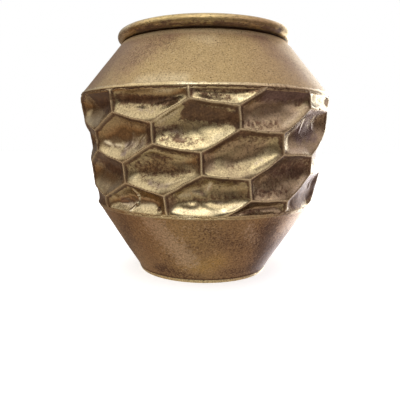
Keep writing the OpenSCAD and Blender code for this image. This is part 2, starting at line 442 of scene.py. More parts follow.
def snap_to_ribs(angle, down):
    """Moves grid places beside a rib onto lines that run along it, so that the ribs stay crisp."""
    p = unrolled(angle, down)
    distance, way, _, _ = find_cell(wavering(p))
    nearest = RIB_LINES[np.argmin(np.abs(distance[:, None] - RIB_LINES), -1)]
    held = (edge_fade(down) < 0.05) | (joint_fade(angle) < 0.05) | (distance > SNAP_END)
    move = np.where(held, 0, distance - nearest)
    return rolled(p + way * move[:, None])


def wall(distance, reach):
    """0 at a rib, rising to 1 at that reach, with a round foot."""
    t = np.clip(distance / reach, 0, 1)
    return 1 - (1 - t) ** 2


# How far each kind of wall reaches into its cell, how much of the small step it has at its rib, and how
# dark the groove there is
# The groove's darkness is patina together with painted shade, strongest on the upper and left walls
WALLS = {
    "upper": (15 * MM, 1.0, 1.0),
    "lower": (24 * MM, 0.05, 0.0),
    "left": (16 * MM, 0.8, 0.9),
    "right": (18 * MM, 0.3, 0.35),
    "top edge": (20 * MM, 0.6, 0.5),
    "bottom edge": (18 * MM, 0.05, 0.0),
}
# Half the flat of a rib's crest, the small step beside it, the depth of a dish and the dark groove
CREST = 0.6 * MM
STEP_W = 1.4 * MM
STEP_DEPTH = 1.2 * MM
STEP_SPREAD = 10 * MM
DISH_DEPTH = 9.5 * MM
GROOVE_AT = 1.8 * MM
GROOVE_W = 1.1 * MM


def wall_kind(direction):
    if abs(direction[0]) > abs(direction[1]):
        return "right" if direction[0] > 0 else "left"
    return "upper" if direction[1] > 0 else "lower"


def dished(place, down):
    """The shares, 0 to 1, of the small step beside the ribs, of the deep dish and of the dark groove."""
    step = np.ones(len(place))
    dish = np.ones(len(place))
    groove = np.zeros(len(place))
    gaps = []
    for normal, half in zip(SIDE_NORMALS, SIDE_HALVES):
        for sign in (1, -1):
            gaps.append((half - sign * (place @ normal), wall_kind(sign * normal)))
    gaps.append((down + CREST, "top edge"))
    gaps.append((slant - down + CREST, "bottom edge"))
    for gap, kind in gaps:
        reach, sharp, groove_patina_and_shade = WALLS[kind]
        dish = dish * wall(gap - CREST, reach)
        step = step * (sharp * smooth((gap - CREST) / STEP_W) + (1 - sharp) * wall(gap - CREST, STEP_SPREAD))
        groove = np.maximum(groove, groove_patina_and_shade * bump_at(gap, GROOVE_AT, GROOVE_W))
    return step, dish, groove


# Marks on single cells (i, j). Each stroke is start x, y, end x, y, strength and width, in mm from the
# cell's middle. The strength of a crease is its height in mm.
CREASES = {
    (-1, 0): [(-33, -9, -24, -11, 0.6, 2), (-14, -10, -4, -10, 0.5, 2), (13, 4, 13, -6, 0.6, 2),
              (27, -2, 34, 5, 0.5, 2), (2, -13, 10, -8, 0.5, 2), (20, 2, 20, -7, -0.4, 3),
              (6, 2, 6, -6, -0.3, 3), (8, -17, 22, -11, 0.2, 1.8)],
    (-2, 2): [(1, 18, 5, 13, 1.3, 1.3), (5, 13, 4, 4, 1.6, 1.4), (4, 4, -3, -6, 1.2, 1.5),
              (-23, 3, -12, 5, 1, 1.8), (-9, 9, -3, 8, 0.9, 1.8), (33, 3, 33, 3, -1.6, 3)],
    (-1, 2): [(-28, -1, -22, 1, 1, 3), (-15, 5, -9, 6, 1.5, 3), (-7, 2, -2, 0, 1.1, 3),
              (4, 4, 10, 1, 0.4, 3), (-26, -7, -20, -6, 0.6, 2.8), (0, 10, 3, 15, 1.2, 2.4),
              (34, 11, 38, 13, 0.8, 2.4), (-18, -8, -13, -7, 1, 3), (2, -9, 10, -10, 0.5, 4),
              (-4, -6, 4, -8, 0.5, 3)],
    (0, 0): [(-33, -16, -26, -17, 0.6, 2.5), (-7, -12, 0, -17, 0.35, 4.5), (10, 2, 26, -2, -0.4, 5)],
    (-1, 1): [(-26, 12, -10, 18, 0.4, 1.8), (-10, 18, 30, 11, 0.4, 1.6), (-30, -6, 20, -3, -0.8, 5),
              (6, -15, 34, -5, 0.5, 1.8), (6, 9, 14, 4, 0.4, 3)],
    (0, -1): [(-24, -12, -4, -15, 0.35, 2), (6, -11, 34, -3, 0.5, 1.8), (0, -8, 20, -8, 0.4, 3)],
    (0, 1): [(-24, 2, 20, 12, 0.5, 6), (-10, -8, 20, -2, -0.5, 5), (12, -14, 36, -4, 0.6, 2.2)],
    (1, 0): [(-24, -4, -12, 6, 0.5, 5), (0, 6, 16, -2, 0.4, 5)],
    (1, 1): [(-10, 2, -3, 13, 0.5, 1.8), (18, 3, 20, 13, 0.4, 2)],
    (0, 3): [(24, 4, 28, 15, 1.2, 3)],
    (0, 2): [(-20, -6, 8, 2, 0.4, 6)],
    (1, -1): [(-20, -16, 10, -18, 0.4, 2.5)],
}
# Patina, more or less of it than around the stroke. The strong cleaning strokes along creases, the
# crescent and the lower lips are painted highlights.
PATINA_AND_GLINTS = {
    (0, -1): [(-12, 8, 24, 10, -1.2, 5.5), (-34, 14, 30, 12, -0.3, 7), (-34, -4, 28, -5, 0.8, 5),
              (-36, 5, 20, 5, -0.3, 5), (4, 5, 34, 5, -0.25, 5), (-36, -15, -6, -21, 0.2, 5),
              (0, -21, 34, -5, 0.05, 4.5)],
    (-1, 0): [(37, 10, 38, -4, 0.5, 2.8), (-24, -15, -6, -20, -0.1, 6), (-36, -6, 20, -10, -0.3, 6),
              (-20, 4, 14, 4, -0.6, 13), (6, 12, 12, 12, 0.25, 4), (-33, -9, -5, -10, -1.2, 2.2),
              (13, 3, 13, -5, -1.5, 1.3), (28, -2, 34, 4, -1.5, 1.3), (20, 0, 32, 2, -0.4, 4)],
    (0, 0): [(-10, 16, 28, 10, 1.1, 7), (-10, -3, 20, -5, -0.3, 6), (-36, -2, -14, -5, 0.3, 5.5),
             (-37, 6, -14, 19, -2.2, 4.6), (38, 8, 40, -2, 0.9, 3.6), (4, 20, 33, 15, -0.4, 3.2),
             (-34, -15, 0, -17, 0.35, 6), (-19, -11, -16, -13, 0.5, 2.6), (6, -13, 12, -14, 0.4, 3.5),
             (8, -18, 40, -2, -0.5, 3.5)],
    (1, 0): [(-10, 0, 20, 0, -0.5, 7), (-18, 13, 34, 12, 0.6, 6.5), (36, 8, 30, 0, 0.4, 6),
             (-30, -2, -8, -6, -0.15, 8), (-32, -14, 0, -17, 0.45, 7), (6, -18, 38, 0, -0.8, 2.8)],
    (-1, 1): [(-26, 12, -10, 18, -0.6, 1.6), (-10, 18, 34, 11, -0.7, 1.4), (-8, 13, 10, 12, 0.3, 3),
              (10, 9, 28, 6, -0.25, 5), (-30, -2, 30, -3, 0.3, 6.5), (-38, -12, -28, -13, -0.5, 3),
              (0, -18, -26, -13, 0.3, 4.5), (8, -14, 36, -4, -0.5, 2.5)],
    (0, 1): [(-34, 5, -8, 20, 0.6, 2.5), (-4, 21, 34, 18, 0.35, 2), (41, 12, 41, 6, 1.2, 2.6),
             (30, 10, 38, 4, -0.35, 4), (8, -16, 38, -2, -0.2, 3), (-24, 6, 20, 6, -0.1, 9),
             (-14, -11, 2, -15, 0.25, 4)],
    (0, 2): [(-10, 8, 34, 4, 0.3, 12), (30, 4, 26, -2, 0.35, 6), (-34, -12, 4, -17, 0.45, 7),
             (14, -18, 38, -3, -0.9, 2.8), (6, 22, 30, 18, -0.4, 2)],
    (1, 1): [(0, 18, 20, 16, 0.4, 5), (-10, 2, -3, 13, -2, 1.6), (18, 4, 20, 13, -1.4, 1.8),
             (-38, -3, -38, -16, -1, 1.5), (-30, -17, -2, -19, -0.8, 3), (0, 0, 6, 0, 0.15, 14)],
    (-2, 2): [(-24, 12, -6, 12, 0.1, 4), (-30, 10, 34, 12, -0.8, 9), (33, 3, 33, 3, 1.6, 2.8),
              (8, 2, 28, 6, -0.5, 7), (-12, -12, 20, -12, 0.35, 5), (-22, 2, -6, 2, -0.7, 5),
              (1, 18, 5, 12, -2, 1.5), (5, 12, -2, -5, -2, 1.5), (-23, 3, -12, 5, -2, 1.5)],
    (-1, 2): [(-38, -1, 40, 2, 0.3, 3.2), (-34, -6, 10, -6, 0.1, 4), (-28, 6, 34, 7, -0.3, 6),
              (-2, 11, 4, 15, -0.8, 3), (36, 13, 38, 12, -0.7, 2), (17, 14, 20, 14, -0.5, 2),
              (-36, -13, 16, -14, -0.6, 3.5), (18, -13, 40, -3, -0.9, 3), (-14, 7, -3, 4, -1.2, 3),
              (-28, 2, -19, 3, -1.2, 2.6), (0, 10, 3, 15, -1.2, 2.4), (-30, 10, 30, 16, 0.1, 5)],
    (1, -1): [(-35, -4, 24, -8, 0.85, 8), (-30, -17, -4, -20, 0.5, 4), (2, -18, 20, -18, -0.6, 3)],
    (-1, -1): [(0, 12, 30, 4, 1.1, 12), (0, -12, 30, -16, -0.4, 8)],
    (-2, 1): [(-10, 10, 30, 8, 0.4, 10), (-10, -12, 30, -14, -0.5, 8)],
    (2, 0): [(-20, -8, 20, -8, -0.4, 14)],
    (2, 1): [(-20, 0, 20, 0, -0.4, 16)],
    (1, 2): [(-20, 0, 20, 0, 0.35, 16)],
    (-3, 2): [(-10, 8, 20, 8, 0.3, 10)],
    (0, 3): [(-20, 5, 40, 5, 1.3, 16), (22, 5, 28, 13, -1, 2.4)],
}
# Haze
BLOOM = {
    (0, -1): [(-12, -13, 4, -16, 0.4, 3.5), (8, -11, 26, -4, 0.25, 2.2)],
    (-1, 0): [(4, -6, 30, -6, 0.6, 6), (6, -14, 2, -17, 0.6, 4)],
    (0, 0): [(-36, -3, -16, -6, 0.4, 5), (-8, 2, 6, -4, 0.15, 6), (-18, -12, -12, -13, 0.3, 3)],
    (1, 0): [(-12, 13, 36, 13, 0.9, 8), (-26, -8, 10, -8, 0.15, 8)],
    (-1, 1): [(-12, -15, 6, -17, 0.5, 3.5), (10, 5, 24, 8, 0.2, 4)],
    (0, 1): [(14, -10, 20, -8, 0.4, 3)],
    (1, 1): [(-10, 0, 14, 0, 0.8, 14)],
    (-1, 2): [(-18, -11, -14, -12, 0.4, 3), (10, -4, 30, -4, 0.4, 3.5)],
    (-2, 2): [(-22, 4, -4, 3, 0.6, 5)],
    (0, 2): [(6, 20, 28, 19, 0.5, 2.5), (-10, 4, 30, 4, 0.3, 14)],
}
# Cells whose marks the cells away from the front borrow
MARKED = [(0, -1), (-1, 0), (0, 0), (1, 0), (-1, 1), (0, 1), (0, 2), (-1, 2)]
# How deep single cells are, compared with the others
DEPTHS = {
    (2, 1): 0.25, (1, 2): 0.6, (-3, 2): 0.1, (1, -1): 0.85, (-1, -1): 1.15, (0, -1): 1.15, (0, 3): 0.75,
}
# How dented single cells are, compared with the others
DENTED = {(-1, 0): 2.2, (-1, 2): 2.0, (-2, 2): 2.2, (1, 1): 0.8}


def stroke(spot, way, strength, width):
    """A soft stroke from the origin along way: strongest on its line, and gone about two widths from it."""
    t = np.clip(spot @ way / max(way @ way, 1e-9), 0, 1)
    gap = np.linalg.norm(spot - t[:, None] * way, axis=1)
    return strength * bump_at(gap, 0, width)


def stroke_sum(place, strokes):
    total = np.zeros(len(place))
    for x0, y0, x1, y1, strength, width in strokes:
        way = np.array([x1 - x0, y1 - y0], float)
        total = total + stroke(place - (x0, y0), way, strength, width)
    return total


def cell_marks(cell, place, book):
    """Each cell's own marks. A cell away from the front, with none of its own, borrows those of another."""
    found = np.zeros(len(place))
    for i, j in np.unique(cell, axis=0).astype(int).tolist():
        mine = (cell[:, 0] == i) & (cell[:, 1] == j)
        own = (i, j) in PATINA_AND_GLINTS
        strokes = book.get((i, j) if own else MARKED[(5 * i + 3 * j) % len(MARKED)], [])
        found[mine] = stroke_sum(place[mine] / MM, strokes)
    return found


def cell_values(cell, book):
    found = np.ones(len(cell))
    for (i, j), value in book.items():
        found[(cell[:, 0] == i) & (cell[:, 1] == j)] = value
    return found


OFF_CENTRE = 1.5 * MM
BULGE = 2.5 * MM


def out_of_round(angle, down):
    """The band stands a little to the right of the pot's axis, and bulges low on the right."""
    bulge = bump_at(angle, 1.35, 0.5) * bump_at(down, 68 * MM, 30 * MM)
    return OFF_CENTRE * np.sin(angle) * edge_fade(down, 30 * MM) + BULGE * bulge


# Heights of the soft swells and small dents, and how far in from the band's edges it lies low
SWELLS = 0.5 * MM
DENTS = 0.12 * MM
EDGE_REACH = 20 * MM


def band_heights(angle, down):
    """Height of the pressed sheet over the plain cone, in metres, with what the shader needs to know."""
    p = unrolled(angle, down)
    distance, _, cell, place = find_cell(wavering(p))
    step, dish, groove = dished(place, down)
    flat = np.stack([p[:, 0], p[:, 1], np.zeros(len(p))], -1)
    inside = smooth((distance - 2 * MM) / (8 * MM)) * edge_fade(down, 8 * MM)
    swells = cloud(flat, 28 * MM, 2, 3.0) * SWELLS
    dents = cloud(flat, 7 * MM, 3, 9.0) * DENTS * cell_values(cell, DENTED)
    creases = cell_marks(cell, place, CREASES) * MM * smooth((distance - 1 * MM) / (3 * MM))
    near_edge = 1 - smooth((np.minimum(down, slant - down) - 4 * MM) / EDGE_REACH)
    rise = edge_fade(down) * (1 - near_edge * (1 - bump_at(distance, 0, 4 * MM)))
    height = RIB_RISE * rise - STEP_DEPTH * step - DISH_DEPTH * dish * cell_values(cell, DEPTHS)
    height = height + inside * (swells + dents) + edge_fade(down, 5 * MM) * creases
    height = height * joint_fade(angle) + out_of_round(angle, down)
    return height, {"distance": distance, "cell": cell, "place": place, "dish": dish, "groove": groove}


FRONT_SQUEEZE = 0.16


def band_angles(count):
    """Places round the band from one side of its joint to the other, closer together at the front."""
    end = math.pi - JOINT_GAP / 2 / belly_r
    even = np.linspace(-end, end, count)
    return even - FRONT_SQUEEZE * np.sin(even)


def band_points(angle, down, height):
    """Points at that height over the plain cone."""
    r = np.minimum(belly_r - down * taper_sin + height, limit_r)
    return np.stack([r * np.sin(angle), -r * np.cos(angle), belly_h - down * taper_cos], -1)


# Points round and down the band's outer side, and how many of their steps make one of the inner side's
COLS = 761
ROWS = 121
COARSE = 4


def band_rim_faces(outer_at, inner_at, rows, cols):
    """Faces that join the outer and inner sheets round all four borders."""
    faces = []
    for k in range(cols):
        run = [COARSE * k + n for n in range(COARSE + 1)]
        faces.append([outer_at(0, c) for c in run] + [inner_at(0, k + 1), inner_at(0, k)])
        faces.append([outer_at(ROWS - 1, c) for c in run[::-1]] + [inner_at(rows, k), inner_at(rows, k + 1)])
    for k in range(rows):
        run = [COARSE * k + n for n in range(COARSE + 1)]
        faces.append([outer_at(r, 0) for r in run[::-1]] + [inner_at(k, 0), inner_at(k + 1, 0)])
        faces.append([outer_at(r, COLS - 1) for r in run] + [inner_at(k + 1, cols), inner_at(k, cols)])
    return faces


def age_band(made, known, pad):
    """Patina, darker towards the top of each cell where its walls face down, a little darker deep in the
    dish and dark in its grooves: patina together with painted shade. The ribs' crests are rubbed bright,
    partly as a painted highlight. pad is the values of the inner side, which stays plain."""
    up = known["place"][:, 1] / (ROW_STEP[1] + abs(RIB_STEP[1]))
    marks = cell_marks(known["cell"], known["place"], PATINA_AND_GLINTS)
    # Painted shade with the patina: darker towards the top of each cell, deeper in the dish and in the
    # grooves
    shade = 0.28 + 0.45 * up + 0.08 * known["dish"] + marks + 1.5 * known["groove"]
    bloom = 0.05 + cell_marks(known["cell"], known["place"], BLOOM)
    # Painted highlight with real rubbing: the ribs' crests made bright
    wear = bump_at(known["distance"], 0, 0.9 * MM)
    for name, values in (("shade", shade), ("bloom", bloom), ("wear", wear)):
        add_attribute(made, name, np.concatenate([values, pad]))


def band_piece():
    """The pressed band: a fine outer side, a coarser inner side, and faces that join them at the borders."""
    downs, angles = np.linspace(0, slant, ROWS), band_angles(COLS)
    down, angle = (g.ravel() for g in np.meshgrid(downs, angles, indexing="ij"))
    angle, down = snap_to_ribs(angle, down)
    height, known = band_heights(angle, down)
    outer = band_points(angle, down, height)

    down_in, angle_in = (g.ravel() for g in np.meshgrid(downs[::COARSE], angles[::COARSE], indexing="ij"))
    outward = np.stack([np.sin(angle_in), -np.cos(angle_in), np.zeros(len(angle_in))], -1)
    inner = band_points(angle_in, down_in, band_heights(angle_in, down_in)[0]) - SHEET * outward

    in_rows, in_cols = len(downs[::COARSE]), len(angles[::COARSE])
    faces = grid_faces(ROWS, COLS, False, False).tolist()
    faces += (grid_faces(in_rows, in_cols, False, False)[:, ::-1] + len(outer)).tolist()
    faces += band_rim_faces(lambda r, c: r * COLS + c, lambda r, c: len(outer) + r * in_cols + c,
                            in_rows - 1, in_cols - 1)
    made = make_object("pressed_band", np.concatenate([outer, inner]), faces, band_brass, 75)
    add_inner_material(made, inner_brass, np.arange(len(outer) + len(inner)) >= len(outer))
    age_band(made, known, np.zeros(len(inner)))
    return finish_piece(made, "honeycomb_band")


# ---------------------------------------------------------------- turned pieces

def sheet_profile(outer):
    """Closes an outer profile into a sheet of even thickness, on the side towards the pot's axis."""
    outer = np.asarray(outer)
    step = np.gradient(outer, axis=0)
    step = step / np.linalg.norm(step, axis=1, keepdims=True)
    inward = np.stack([-step[:, 1], step[:, 0]], -1)
    inner = (outer + inward * SHEET)[::-1]
    return np.concatenate([outer, inner])


# Radius, in mm, at which the marks on turned pieces have their length
MEAN_R = 120


def turned_marks(points, strokes):
    """Marks on a turned piece. Each stroke is angle, height, angle, height, strength and width, with angles
    in degrees from the front and the rest in mm."""
    angle = np.degrees(np.arctan2(points[:, 0], -points[:, 1]))
    r = np.hypot(points[:, 0], points[:, 1]) / MM
    total = np.zeros(len(points))
    for a0, z0, a1, z1, strength, width in strokes:
        way = np.array([math.radians(a1 - a0) * MEAN_R, z1 - z0])
        spot = np.stack([np.radians((angle - a0 + 180) % 360 - 180) * r, points[:, 2] / MM - z0], -1)
        total = total + stroke(spot, way, strength, width)
    return total


def inner_half(steps, count):
    """Says which points of a turned sheet lie on its inner side."""
    return np.tile(np.arange(2 * count) >= count, steps)


def sheet_swells(points, low, high, size, shift):
    """Outward swells and small ripples of a rolled sheet, gone at its lower and upper edges."""
    z = points[..., 2]
    fade = smooth((z - low) / (8 * MM)) * smooth((high - z) / (8 * MM))
    return fade * (cloud(points, size, 2, shift) * 0.8 + cloud(points, 18 * MM, 2, shift + 4) * 0.12) * MM


# Steps round the shoulder and the lower cone, and how far the shoulder swells up beside the neck
SHEET_STEPS = 420
TOP_SWELL = 0.6 * MM


def shoulder_piece():
    """The shoulder, whose upper edge turns in to the neck."""
    start = math.pi / 2 - shoulder_lean
    top_h = shoulder_h + TOP_SWELL
    centre = (SHOULDER_R - CORNER_R * math.tan(shoulder_lean / 2), top_h - CORNER_R)
    top = arc(centre, CORNER_R, start, math.pi / 2, 8)
    outer = line((belly_r, belly_h), top[0], 60)[:-1] + top + [(neck_r, top_h)]
    made = turned_piece("shoulder", sheet_profile(outer), SHEET_STEPS, shoulder_brass,
                        lambda points: sheet_swells(points, belly_h, shoulder_h, 60 * MM, 1.0))
    add_inner_material(made, inner_brass, inner_half(SHEET_STEPS, len(outer)))
    points = mesh_points(made)
    # The cleaning stroke at the left front just above the seam is a painted highlight
    add_attribute(made, "shade", turned_marks(points, [
        (-24, 262, -36, 242, 0.24, 22), (-34, 262, -50, 235, 0.16, 26), (-14, 256, 4, 230, 0.22, 16),
        (34, 250, 50, 236, 0.15, 20), (40, 262, 52, 240, 0.15, 14), (-26, 219, -4, 220, -0.5, 7),
        (-8, 266, 2, 262, -0.3, 8), (150, 250, 190, 235, 0.25, 22), (100, 240, 110, 230, 0.25, 16)]))
    # Painted light: the shoulder's top edge, in the bead's shade, rubbed bright so that it stays lit
    add_attribute(made, "wear", 0.8 * smooth((points[:, 2] - shoulder_h + 7 * MM) / (6 * MM)))
    add_attribute(made, "bloom", turned_marks(points, [
        (-27, 266, -36, 240, 0.62, 26), (-56, 262, -60, 232, 0.85, 30), (34, 262, 50, 232, 0.5, 20),
        (-20, 270, 30, 271, 0.5, 5), (170, 262, 200, 230, 0.6, 20), (100, 250, 120, 235, 0.5, 16)]))
    return finish_piece(made, "shoulder_cone")


def lower_piece():
    """The lower cone, which bends down to the foot."""
    centre = (foot_r + BEND_R * math.cos(FOOT_TAPER), foot_h - BEND_R * math.sin(FOOT_TAPER))
    bend = arc(centre, BEND_R, math.pi - FOOT_TAPER, math.pi - waist_lean, 8)
    outer = [(foot_r, foot_h)] + bend[1:] + line(bend[-1], (waist_r, waist_h), 60)[1:]
    made = turned_piece("lower_body", sheet_profile(outer), SHEET_STEPS, lower_brass,
                        lambda points: sheet_swells(points, foot_h, waist_h, 55 * MM, 2.0))
    add_inner_material(made, inner_brass, inner_half(SHEET_STEPS, len(outer)))
    points = mesh_points(made)
    # Darker along the joint with the foot ring
    joint_dark = 0.7 * bump_at(points[:, 2], foot_h, 1.5 * MM)
    add_attribute(made, "shade", joint_dark + turned_marks(points, [
        (-45, 70, -60, 30, 0.3, 14), (2, 66, 20, 50, 0.2, 12), (-2, 22, 8, 30, -0.7, 10),
        (-34, 14, -12, 10, 0.3, 8), (16, 14, 40, 14, 0.25, 8), (36, 66, 48, 14, 0.5, 16),
        (60, 44, 70, 10, 0.35, 20), (-22, 30, -30, 14, 0.15, 8), (-8, 50, 0, 44, 0.15, 9),
        (150, 60, 200, 40, 0.3, 18)]))
    add_attribute(made, "bloom", turned_marks(points, [
        (-25, 76, -13, 34, 1.15, 14), (24, 70, 30, 54, 0.6, 9), (-8, 74, 8, 72, 0.25, 6),
        (120, 60, 140, 40, 0.6, 16), (200, 66, 215, 40, 0.6, 14)]))
    return finish_piece(made, "lower_cone")


STREAK_SCALE = 0.35


def droop_rim(made):
    """The rolled rim sits slightly low and slightly in on the pot's left side."""
    points = mesh_points(made)
    left = bump_at(np.arctan2(points[:, 0], -points[:, 1]), -math.pi / 2, 1.0)[:, None]
    outward = points * (1, 1, 0) / np.hypot(points[:, 0], points[:, 1])[:, None]
    points -= left * (0.7 * MM * outward + 0.8 * MM * np.array([0, 0, 1]))
    made.data.vertices.foreach_set("co", points.astype(np.float32).ravel())


def rim_piece():
    """The rolled bead, open underneath where its edge comes back to the neck."""
    open_end, lip_end = math.radians(230), math.radians(180)
    outside = arc((bead_ring_r, bead_z), bead_r, lip_end, open_end - TURN, 44)
    inside = arc((bead_ring_r, bead_z), bead_r - SHEET, open_end - TURN, lip_end, 30)
    profile = np.array((outside + inside)[::-1])
    steps = 480

    def uneven(points):
        return (cloud(points, 40 * MM, 2, 4.0) * 0.25 + cloud(points, 7 * MM, 2, 8.0) * 0.07) * MM
    made = turned_piece("rolled_rim", profile, steps, rim_brass, uneven, 60)
    section = np.concatenate([[0], np.cumsum(np.linalg.norm(np.diff(profile, axis=0), axis=1))])
    droop_rim(made)
    points = mesh_points(made)
    # The noise of the rim's material is stretched along the rim
    streak = np.concatenate([points[:, :2] * STREAK_SCALE, np.tile(section, steps)[:, None]], 1)
    layer = made.data.attributes.new("streak", "FLOAT_VECTOR", "POINT")
    layer.data.foreach_set("vector", streak.astype(np.float32).ravel())
    # Painted shade: the bead darker towards its underside. Painted highlights: its two ends cleaned and
    # rubbed bright; the weak stroke at the top front cleans it a little
    below = smooth((bead_z + 4 * MM - points[:, 2]) / (9 * MM))
    add_attribute(made, "shade", 0.95 * below - 0.8 * turned_marks(points, [
        (-90, 284, -60, 286, 2.0, 12), (65, 284, 95, 284, 2.2, 14), (-8, 288, 12, 288, 0.3, 5)]))
    add_attribute(made, "wear", turned_marks(points, [
        (-90, 284, -60, 286, 0.5, 10), (65, 284, 95, 284, 0.6, 12)]))
    return finish_piece(made, "rim_bead")


def neck_piece():
    """The straight neck under the bead."""
    outer = line((neck_r, neck_low.z), (neck_r, bead_z), 14)
    made = turned_piece("neck", sheet_profile(outer), 360, neck_brass,
                        lambda points: cloud(points, 50 * MM, 2, 7.0) * 0.1 * MM)
    return finish_piece(made, "neck_collar")


SEAM_STEPS = 1200
# Width of the crack along a seam strip, and of the step up from it to the small bead below
CRACK_W = 1.0 * MM
BEAD_W = 0.2 * MM
# Within this distance of the corner the strip's surface turns from one sheet's side to the other's
CORNER_REACH = 2.0 * MM
# How far the strip's hidden inner edge lies behind the corner
CORNER_DEPTH = 0.5 * MM


def seam_rows(up_reach, crack, bead, down_reach, thick, joint_dark):
    """Section of a seam strip, from its upper to its lower edge. Each row says along which sheet, how far
    from the corner, how high over the sheet, how much patina and how much wear. The crack's two
    rows take joint_dark as their patina: painted shade in the crack."""
    sunk = np.full(len(thick), -BURIED)
    return [
        ("up", up_reach, sunk, 0.4, 0.0),
        ("up", up_reach * 0.92, thick * 0.45, 0.3, 0.1),
        ("up", up_reach * 0.80, thick * 0.85, 0.1, 0.3),
        ("up", up_reach * 0.65, thick, -0.3, 0.3),
        ("up", up_reach * 0.3, thick * 0.72, -0.5, 0.3),
        ("up", up_reach * 0.05, thick * 0.45, -0.6, 0.3),
        ("down", crack * 0.6, thick * 0.35, 0.5, 0.1),
        ("down", crack, thick * 0.02, joint_dark, 0.0),
        ("down", crack + CRACK_W, thick * 0.02, joint_dark, 0.1),
        ("down", crack + CRACK_W + BEAD_W, bead, 0.0, 0.3),
        ("down", down_reach * 0.9, bead * 0.6, 0.1, 0.1),
        ("down", down_reach, sunk, 0.6, 0.0),
    ]


def seam_section(corner, up, down, rows):
    """The section's points at each step round the pot. At the corner it faces midway between the sheets."""
    ways = {"up": up, "down": down}
    outs = {"up": np.array([up[1], -up[0]]), "down": np.array([-down[1], down[0]])}
    middle = outs["up"] + outs["down"]
    middle = middle / np.linalg.norm(middle)
    section = []
    for sheet, reach, height, _, _ in rows:
        lean = np.clip(1 - reach / CORNER_REACH, 0, 1)[:, None]
        facing = outs[sheet] * (1 - lean) + middle * lean
        facing = facing / np.linalg.norm(facing, axis=1, keepdims=True)
        section.append(corner + ways[sheet] * reach[:, None] + facing * height[:, None])
    section.append(np.tile(corner - middle * CORNER_DEPTH, (SEAM_STEPS, 1)))
    return np.stack(section, 1)


def seam_piece(name, node_name, corner, up, down, up_reach, down_reach, thickness, shift, joint_dark):
    """An uneven braze strip over the corner between two sheets, with a wavy crack along it at the front.
    up and down are the directions along the sheets, and joint_dark is how dark the crack is, painted shade."""
    angles = np.arange(SEAM_STEPS) * TURN / SEAM_STEPS
    ring = np.stack([corner[0] * np.sin(angles), -corner[0] * np.cos(angles), 0 * angles + corner[1]], -1)
    wobble = cloud(ring, 20 * MM, 3, shift)
    ripple = cloud(ring, 6 * MM, 3, shift + 3)
    turn = (angles + math.pi) % TURN - math.pi
    # 1 where the strip stands out, 0 where it melts into the sheets
    proud = smooth(0.45 + 0.4 * np.cos(angles) + 0.9 * cloud(ring, 40 * MM, 3, shift + 6)
                   - bump_at(turn, 0.80, 0.45) - 0.9 * bump_at(turn, -0.95, 0.35))
    rows = seam_rows(
        up_reach * (0.85 + 0.35 * wobble + 0.25 * ripple),
        np.clip(0.9 + 2.2 * ripple + 1.2 * wobble, 0.2, 1.9) * MM,
        (0.15 + 0.35 * proud) * thickness,
        down_reach * (1 + 0.12 * wobble),
        thickness * (0.82 + 0.3 * ripple) * (0.35 + 0.65 * proud),
        joint_dark)
    section = seam_section(np.array(corner), np.array(up), np.array(down), rows)
    r = np.minimum(section[..., 0], limit_r)
    a = angles[:, None]
    points = np.stack([r * np.sin(a), -r * np.cos(a), section[..., 1]], -1)
    faces = grid_faces(SEAM_STEPS, section.shape[1], True, True)[:, ::-1]
    made = make_object(name, points, faces, seam_brass, 60)
    dark = np.array([row[3] for row in rows] + [1.0])
    worn = np.array([row[4] for row in rows] + [0.0])
    seen = 0.1 + 0.9 * proud[:, None]
    # Painted glint: the strip made bright at the front
    polished_and_glint = 1.2 * bump_at(turn, -0.11, 0.06)[:, None]
    add_attribute(made, "shade", 0.45 * (1 - seen) + dark * seen + 0.5 * wobble[:, None] - polished_and_glint)
    add_attribute(made, "wear", worn * (0.15 + 0.85 * proud[:, None]) * (0.75 + 0.5 * ripple[:, None]))
    return finish_piece(made, node_name)


def seam_pieces():
    seam_piece("upper_braze", "upper_seam", (belly_r, belly_h),
               (-math.cos(shoulder_lean), math.sin(shoulder_lean)), (-taper_sin, -taper_cos),
               up_reach=4.4 * MM, down_reach=3.6 * MM, thickness=0.8 * MM, shift=11.0, joint_dark=2.6)
    seam_piece("lower_braze", "lower_seam", (waist_r, waist_h),
               (taper_sin, taper_cos), (-math.sin(waist_lean), -math.cos(waist_lean)),
               up_reach=1.2 * MM, down_reach=4.4 * MM, thickness=0.7 * MM, shift=31.0, joint_dark=0.35)


